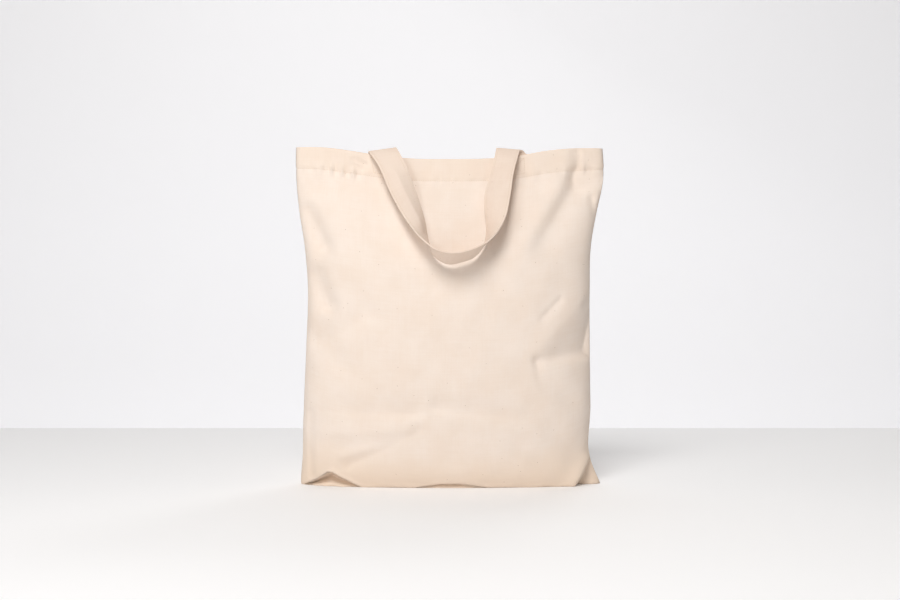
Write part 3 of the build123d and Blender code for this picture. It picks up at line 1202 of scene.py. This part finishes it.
@dataclass
class Handle:
    """One strap: sewn inside the hem at both ends, folded over the rim and hanging as a twisted loop."""

    side: Side
    panel: Panel
    width: float = 0.032
    thickness: float = 0.0016
    spacing: float = 0.155
    rounding: float = 0.0004
    cells_across: int = 20
    sewn_length: float = 0.025
    sewn_cells: int = 8
    sewn_gap: float = 0.0002
    sewn_top: float = 0.0005
    leans: tuple[float, float] = (-0.006, 0.0)
    axis_front: float = 0.014815
    axis_height: float = 0.406368
    fold_radius: float = 0.003
    fold_angle: float = 140.0
    fold_cells: int = 8
    fold_crest: float = 0.0006
    fold_sag: float = 0.002
    blend_reach: tuple[float, float] = (-0.0012, 0.0022)
    blend_rise: float = 0.15
    loop_cells: int = 130
    loop_trim: int = 3
    crease: tuple[float, float, float] = (0.06, 0.30, 0.52)
    crease_depth: float = 0.0045
    crease_fade: float = 0.05
    crease_reach: float = 0.5
    right_shift: float = 0.0
    shift_start: float = 0.75
    edge_margin: float = 0.003
    edge_stop: float = 0.004
    edge_points: int = 300
    tack_pitch: float = 0.0026
    tack_stitch: float = 0.0022
    tack_points: int = 12
    outer_edge: tuple[Place, ...] = (
        (-0.0985, -0.0200, 0.4055), (-0.0845, -0.0300, 0.3840), (-0.0715, -0.0425, 0.3540),
        (-0.0565, -0.0565, 0.3265), (-0.0425, -0.0680, 0.3070), (-0.0290, -0.0765, 0.2935),
        (-0.0155, -0.0825, 0.2840), (0.0020, -0.0855, 0.2800), (0.0205, -0.0855, 0.2825),
        (0.0355, -0.0825, 0.2885), (0.0470, -0.0780, 0.2955), (0.0575, -0.0705, 0.3070),
        (0.0665, -0.0605, 0.3240), (0.0725, -0.0475, 0.3510), (0.0770, -0.0350, 0.3785),
        (0.0850, -0.0200, 0.4070),
    )
    inner_edge: tuple[Place, ...] = (
        (-0.0645, -0.0200, 0.4100), (-0.0540, -0.0290, 0.3900), (-0.0450, -0.0330, 0.3660),
        (-0.0365, -0.0390, 0.3415), (-0.0300, -0.0440, 0.3180), (-0.0260, -0.0485, 0.2965),
        (-0.0185, -0.0535, 0.2775), (-0.0025, -0.0562, 0.2680), (0.0150, -0.0565, 0.2705),
        (0.0300, -0.0545, 0.2770), (0.0415, -0.0505, 0.2925), (0.0440, -0.0475, 0.3130),
        (0.0415, -0.0450, 0.3345), (0.0420, -0.0420, 0.3530), (0.0500, -0.0290, 0.3795),
        (0.0565, -0.0200, 0.4095),
    )

    def _turned(self, points: np.ndarray) -> np.ndarray:
        """Points of the front handle, turned half round for the rear one."""
        return points if self.side is Side.FRONT else points * np.array([-1, -1, 1])

    def sewn_rows(self, end: int) -> np.ndarray:
        """Rows of one sewn end, from its lower edge to the rise past the rim.

        Args:
            end: -1 for the left end, 1 for the right one, as seen from outside.

        Returns:
            Rows by columns of positions, in the front handle's frame.
        """
        shares = np.linspace(0, 1, self.cells_across + 1)
        cloth = self.panel.cloth
        across = cloth.panel_width / 2 + end * (self.spacing / 2 + self.width * (0.5 - shares))
        depth = self.panel.hem_gap + (self.panel.thickness + self.thickness) / 2 + self.sewn_gap
        rows = []
        for drop in np.linspace(self.sewn_length, self.sewn_top, self.sewn_cells + 1):
            leaned = across + self.lean(end) * (1 - drop / self.sewn_length)
            along = np.full_like(across, cloth.panel_height - drop)
            points, _ = self.panel.outer.place(leaned, along, -depth)
            rows.append(self._turned(points))
        return np.stack(rows)

    def edges(self) -> tuple[np.ndarray, np.ndarray]:
        """Both edges of the hanging loop, with its right fold moved along the rim.

        Returns:
            Stations of the outer and the inner edge.
        """
        shares = np.linspace(0, 1, len(self.outer_edge))
        moved = self.right_shift * np.clip((shares - self.shift_start) / (1 - self.shift_start), 0, 1)
        shift = np.outer(moved, (1, 0, 0))
        return np.array(self.outer_edge) + shift, np.array(self.inner_edge) + shift

    def lean(self, end: int) -> float:
        """How far one end has been sewn on askew, at the rim."""
        return self.leans[0] if end < 0 else self.leans[1]

    def fold_rows(self, top: np.ndarray, end: int) -> np.ndarray:
        """Rows round the fold, from the rise past the rim to the loop.

        Args:
            top: last row of the sewn end.
            end: -1 for the left end, 1 for the right one.

        Returns:
            Rows by columns of positions.
        """
        shares = np.linspace(0, 1, self.cells_across + 1)[:, None]
        outer, inner = (edge[0 if end < 0 else -1] for edge in self.edges())
        leave = outer * (1 - shares) + inner * shares
        crest = leave[:, 2] + self.fold_crest
        rows = []
        for part in np.linspace(0, 1, self.fold_cells + 1):
            angle = math.radians(self.fold_angle) * part
            across = top[:, 0] + (leave[:, 0] - top[:, 0]) * part
            front = -self.axis_front + self.fold_radius * math.cos(angle)
            height = crest - self.fold_radius * (1 - math.sin(angle)) - self.fold_sag * (1 - part)
            rows.append(np.stack([across, np.full_like(across, front), height], axis=1))
        rise = (top + rows[0]) / 2
        return np.stack([rise, *rows])

    def loop_rows(self) -> np.ndarray:
        """Rows of the hanging loop.

        Returns:
            Rows by columns of positions.
        """
        stations = np.linspace(0, 1, len(self.outer_edge))
        fine = np.linspace(0, 1, self.loop_cells + 1)[self.loop_trim : -self.loop_trim]
        outer, inner = (
            np.stack([smooth_curve(tuple(zip(stations, axis)), fine) for axis in edge.T], axis=1)
            for edge in self.edges()
        )
        shares = np.linspace(0, 1, self.cells_across + 1)
        band = outer[:, None] * (1 - shares[:, None]) + inner[:, None] * shares[:, None]
        first, last, middle = self.crease
        fade = np.clip(np.minimum(fine - first, last - fine) / self.crease_fade, 0, 1)[:, None]
        tent = np.clip(1 - np.abs(shares - middle) / self.crease_reach, 0, 1)[None, :]
        fold = tent * fade * self.crease_depth
        return band - Surface(band, self.width, fine).normals * fold[..., None]

    def build(self, canvas: bpy.types.Material, cotton: bpy.types.Material) -> list[bpy.types.Object]:
        """Make the strap and its thread.

        Args:
            canvas: finish of the strap.
            cotton: finish of the thread.

        Returns:
            The pieces.
        """
        left, right = self.sewn_rows(-1), self.sewn_rows(1)
        whole = np.concatenate([
            left, self.fold_rows(left[-1], -1), self.loop_rows(),
            self.fold_rows(right[-1], 1)[::-1], right[::-1],
        ])
        whole = self._turned(whole)
        steps = np.linalg.norm(np.diff(whole[:, self.cells_across // 2], axis=0), axis=1)
        strap = Surface(whole, self.width, np.concatenate([[0.0], np.cumsum(steps)]))
        length = float(strap.along[-1])
        label, body, sign = self.side.label, f"{self.side.label}_handle", self.side.value
        start, end = (
            (0, sign * (self.axis_front + reach), self.axis_height + self.blend_rise * reach)
            for reach in self.blend_reach
        )
        piece = add_piece(f"{label}_strap", sheet_mesh(strap), canvas)
        thicken(piece, self.thickness, self.rounding)
        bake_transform(piece)
        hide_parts(f"{label}_handle_loop", f"{label}_handle_folds",
                    f"{label}_handle_left_end", f"{label}_handle_right_end")
        stop = self.sewn_length + self.edge_stop
        rows = np.linspace(stop, length - stop, self.edge_points)
        thread = StitchRun()
        for edge in (self.edge_margin, self.width - self.edge_margin):
            for face in (1, -1):
                points, normals = strap.place(np.full_like(rows, edge), rows, face * self.thickness / 2)
                thread.run(points, normals * face)
        sewn = add_piece(f"{label}_strap_thread", thread.mesh, cotton)
        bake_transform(sewn)
        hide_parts(f"{label}_handle_stitching")
        LOG.info("%s strap: %.0f mm long", label, length * 1000)
        return [piece, sewn] + [self.tack(strap, end, cotton) for end in (-1, 1)]

    def tack(self, strap: Surface, end: int, cotton: bpy.types.Material) -> bpy.types.Object:
        """Boxed cross of thread through one sewn end, seen on the strap and on the face of the hem.

        Args:
            strap: the strap's surface.
            end: -1 for the left end, 1 for the right one, as seen from outside.
            cotton: finish of the thread.

        Returns:
            The piece.
        """
        thread = StitchRun(pitch=self.tack_pitch, length=self.tack_stitch)
        near, far = self.edge_margin, self.width - self.edge_margin
        low, high = self.edge_margin, self.sewn_length - self.edge_margin
        box = ((near, low), (far, low), (far, high), (near, high))
        path = (*box, box[0], box[2], box[1], box[3])
        cloth, share = self.panel.cloth, np.linspace(0, 1, self.tack_points)
        for (a0, b0), (a1, b1) in zip(path, path[1:]):
            across, along = a0 + (a1 - a0) * share, b0 + (b1 - b0) * share
            points, normals = strap.place(across, along if end < 0 else strap.along[-1] - along)
            facing = np.sign(normals @ np.array([0.0, -self.side.value, 0.0]))[:, None]
            thread.run(points + normals * facing * self.thickness / 2, normals * facing)
            sideways = cloth.panel_width / 2 + end * (self.spacing / 2 + self.width / 2 - across)
            sideways = sideways + self.lean(end) * along / self.sewn_length
            points, normals = self.panel.outer.place(
                sideways, cloth.panel_height - self.sewn_length + along, self.panel.thickness / 2)
            thread.run(points, normals)
        name = f"{self.side.label}_{self.end_name(end)}_tack"
        return thread.on_bag(f"{name}_thread", name, cotton)

    def end_name(self, end: int) -> str:
        """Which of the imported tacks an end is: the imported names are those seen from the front."""
        seen = end if self.side is Side.FRONT else -end
        return "left" if seen < 0 else "right"


# The stage


@dataclass(frozen=True)
class Lamp:
    """Square soft light aimed at a point, with its power in watts."""

    name: str
    place: Place
    target: Place
    size: float
    power: float
    tint: Place = (1.0, 0.99, 0.98)

    def build(self) -> bpy.types.Object:
        """Hang the lamp.

        Returns:
            The light.
        """
        light = bpy.data.lights.new(self.name, "AREA")
        light.energy, light.size, light.color = self.power, self.size, self.tint
        lamp = linked(self.name, light)
        lamp.location = self.place
        aim = Vector(self.target) - Vector(self.place)
        lamp.rotation_euler = aim.to_track_quat("-Z", "Y").to_euler()
        return lamp


@dataclass
class Studio:
    """Pale table, floor and wall, soft light and the camera."""

    camera_place: Place = (0.0003, -1.536, 0.225)
    lens: float = 50.0
    sensor: float = 36.0
    half_width: float = 4.0
    front: float = -3.0
    table_back: float = 0.66
    wall_back: float = 2.8
    wall_top: float = 4.0
    floor_drop: float = 0.7
    table: StageFinish = StageFinish("table_paint", (247, 247, 248), 0.7, 0.06)
    wall: StageFinish = StageFinish("wall_paint", (246, 246, 248), 0.8, 0.29)
    lamps: tuple[Lamp, ...] = (
        Lamp("key", (-0.30, -1.60, 1.85), (0, 0, 0.2), 0.8, 33.0),
        Lamp("side", (-1.2, -1.9, 0.85), (0, 0, 0.2), 0.5, 7.5),
        Lamp("back", (0.9, 1.9, 1.9), (0, 0, 0.2), 0.8, 8.0),
        Lamp("wash", (-0.3, 1.2, 2.6), (-0.1, 2.8, 0.4), 1.6, 10.0, (1.0, 0.995, 1.0)),
    )
    sky: float = 0.20
    sky_tint: Place = (1.0, 0.95, 0.89)

    def slab(
        self, name: str, paint: bpy.types.Material, near: tuple[float, float], far: tuple[float, float]
    ) -> None:
        """Flat stage surface between two level edges.

        Args:
            name: name of the surface.
            paint: its finish.
            near: y and z of the first edge.
            far: y and z of the second edge.
        """
        mesh, half = bmesh.new(), self.half_width
        corners = ((-half, *near), (half, *near), (half, *far), (-half, *far))
        mesh.faces.new([mesh.verts.new(corner) for corner in corners])
        mesh_object(name, mesh, paint)

    def build(self) -> None:
        """Set the floor, wall, lights, world and camera."""
        scene = bpy.context.scene
        scene.view_settings.view_transform = "Standard"
        wall, low = self.wall.build(), -self.floor_drop
        self.slab("table", self.table.build(), (self.front, 0), (self.table_back, 0))
        self.slab("wall", wall, (self.wall_back, low), (self.wall_back, self.wall_top))
        self.slab("floor", wall, (self.front, low), (self.wall_back, low))
        for lamp in self.lamps:
            lamp.build()
        scene.world = bpy.data.worlds.new("studio")
        scene.world.use_nodes = True
        background = scene.world.node_tree.nodes["Background"]
        background.inputs["Color"].default_value = (*self.sky_tint, 1.0)
        background.inputs["Strength"].default_value = self.sky
        data = bpy.data.cameras.new("camera")
        data.lens, data.sensor_width, data.sensor_fit = self.lens, self.sensor, "HORIZONTAL"
        scene.camera = linked("camera", data)
        scene.camera.location, scene.camera.rotation_euler = self.camera_place, (math.pi / 2, 0, 0)


def seams(front: Surface, foot: float = 0.012, hem: float = 0.036, corner: int = 16) -> list[Seam]:
    """Side and bottom seams of the settled cloth.

    Args:
        front: the front panel.
        foot: where the side seams start, along the flat panel.
        hem: how far below the rim they stop.
        corner: columns of the panel that the bottom seam leaves out at each end.

    Returns:
        The seams.
    """
    up = (front.along > foot) & (front.along < front.along[-1] - hem)
    lines = (
        ("left", front.points[up, 0], (1.0, 0.0, 0.0)),
        ("right", front.points[up, -1], (-1.0, 0.0, 0.0)),
        ("bottom", front.points[0, corner:-corner], (0.0, 0.0, 1.0)),
    )
    return [Seam(name, line, np.tile(inward, (len(line), 1))) for name, line, inward in lines]


def main() -> None:
    """Build every piece, dress it and report it."""
    logging.basicConfig(level=logging.INFO, format="%(name)s: %(message)s")
    canvas, webbing, cotton = CanvasFinish().build(), STRAP_CANVAS.build(), ThreadFinish().build()
    Studio().build()
    cloth = BagCloth()
    grids = cloth.settle()
    front, rear = Panel(Side.FRONT, cloth, FRONT_RELIEF), Panel(Side.REAR, cloth, REAR_RELIEF)
    handles = (Handle(Side.FRONT, front), Handle(Side.REAR, rear, leans=(0.0, 0.006), right_shift=0.009))
    pieces = []
    for panel, handle in zip((front, rear), handles):
        pieces += [panel.build(grids[panel.side], canvas), panel.sew_hem(cotton)]
        pieces += handle.build(webbing, cotton)
    for seam in seams(front.outer):
        pieces += seam.build(canvas, cotton)
    for piece in pieces:
        LOG.info("%s: %d faces", piece.name, len(piece.data.polygons))


if __name__ == "__main__":
    main()
